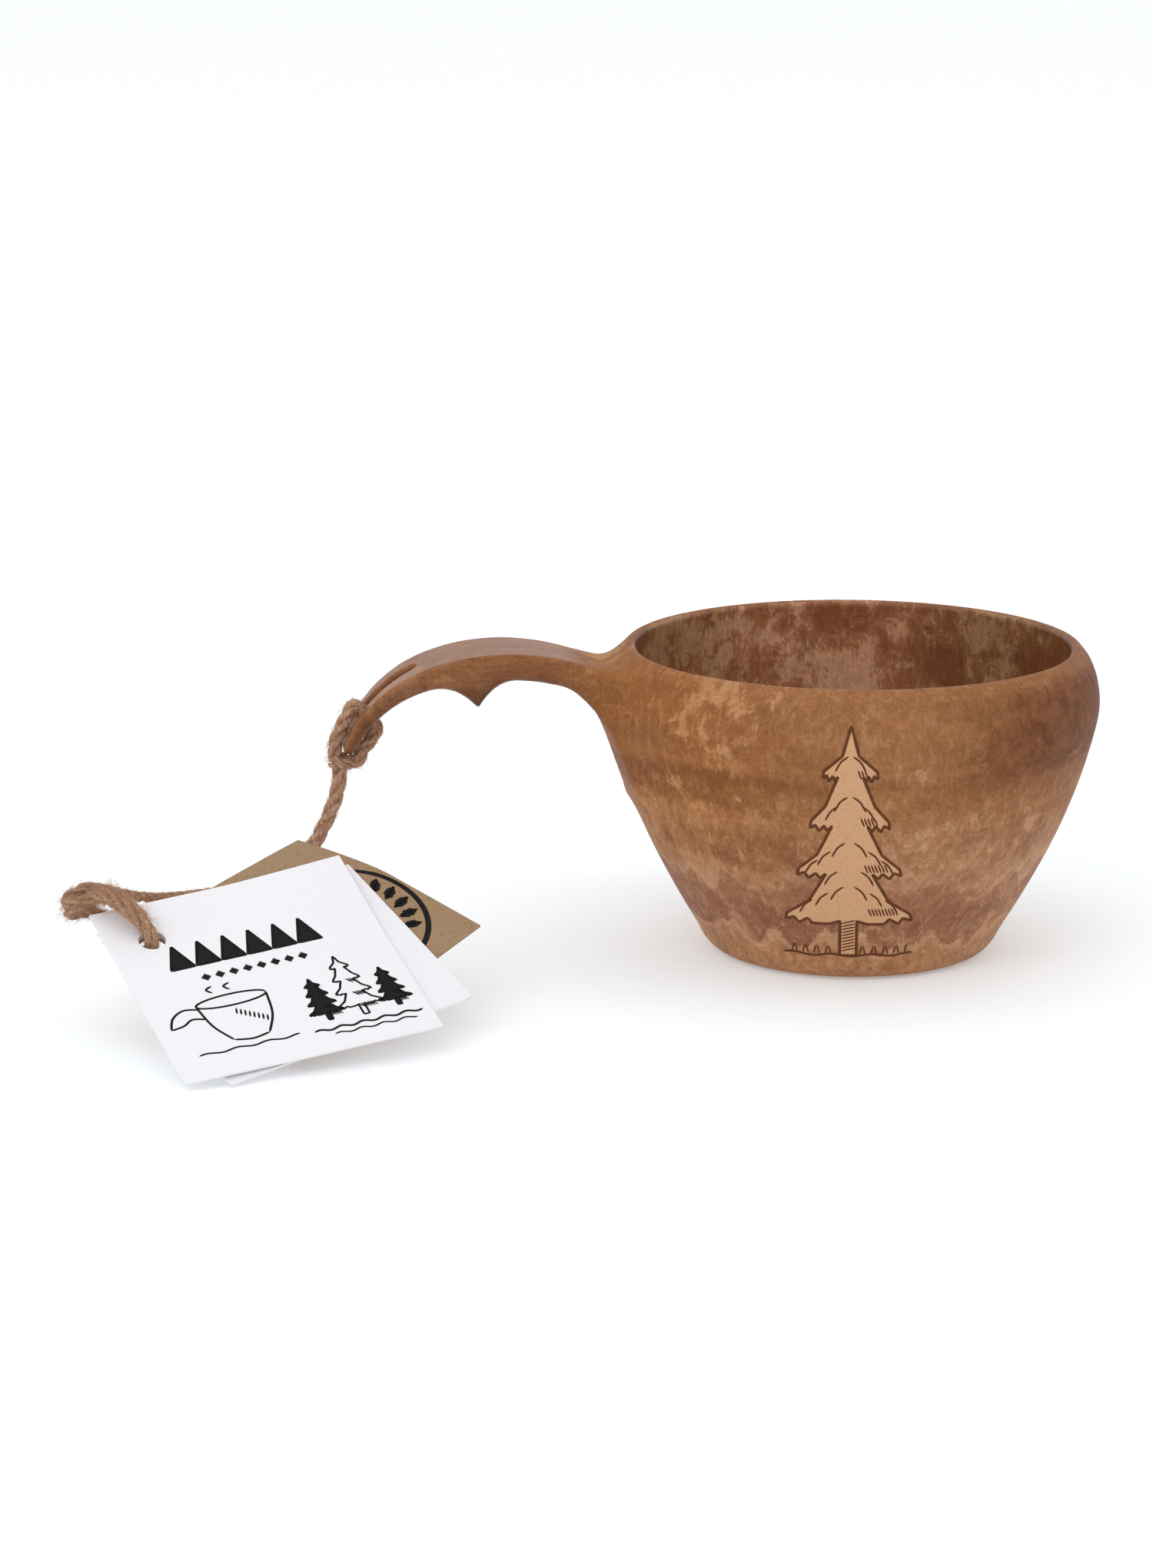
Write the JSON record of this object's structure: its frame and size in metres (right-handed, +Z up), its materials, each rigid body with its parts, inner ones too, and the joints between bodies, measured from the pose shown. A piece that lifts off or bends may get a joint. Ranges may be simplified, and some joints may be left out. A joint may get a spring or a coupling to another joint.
{
  "type": "kuksa cup with lanyard and tags",
  "caption": "Moulded wood-fibre kuksa drinking cup with a slotted finger handle, a jute cord lanyard and punched card tags.",
  "frame": {"origin": "centre of the flat foot that the cup stands on", "axes": "+Z up out of the foot, the handle points along -X, +Y completes the right hand"},
  "size_m": [0.24, 0.1576, 0.0731],
  "materials": {
    "wood_fibre": "satin",
    "jute": "matt",
    "kraft_card": "matt",
    "white_card": "matt"
  },
  "bodies": {
    "cup_body": {"cup": "wood_fibre", "hitch_loop": "jute", "hitch_knot": "jute"},
    "lanyard_body": {"lanyard_upper": "jute", "split_knot": "jute", "leg_back": "jute", "leg_front": "jute", "tag_knot": "jute", "tag_ring": "jute"},
    "kraft_tag_body": {"kraft_tag": "kraft_card"},
    "rear_tag_body": {"rear_tag": "white_card"},
    "front_tag_body": {"front_tag": "white_card"}
  },
  "joints": [
    {"name": "lanyard_swing", "type": "hinge", "parent": "cup_body", "child": "lanyard_body", "pos_m": [-0.1195, 0, 0.0465], "axis": [0, 1, 0], "range_deg": [0, 60]},
    {"name": "kraft_tag_turn", "type": "hinge", "parent": "lanyard_body", "child": "kraft_tag_body", "pos_m": [-0.1635, -0.057, 0.0202], "axis": [0.0356, -0.4086, 0.912], "range_deg": [0, 15]},
    {"name": "rear_tag_turn", "type": "hinge", "parent": "lanyard_body", "child": "rear_tag_body", "pos_m": [-0.1635, -0.057, 0.0202], "axis": [0.0356, -0.4086, 0.912], "range_deg": [0, 12]},
    {"name": "front_tag_turn", "type": "hinge", "parent": "lanyard_body", "child": "front_tag_body", "pos_m": [-0.1635, -0.057, 0.0202], "axis": [0.0356, -0.4086, 0.912], "range_deg": [0, 12]}
  ]
}
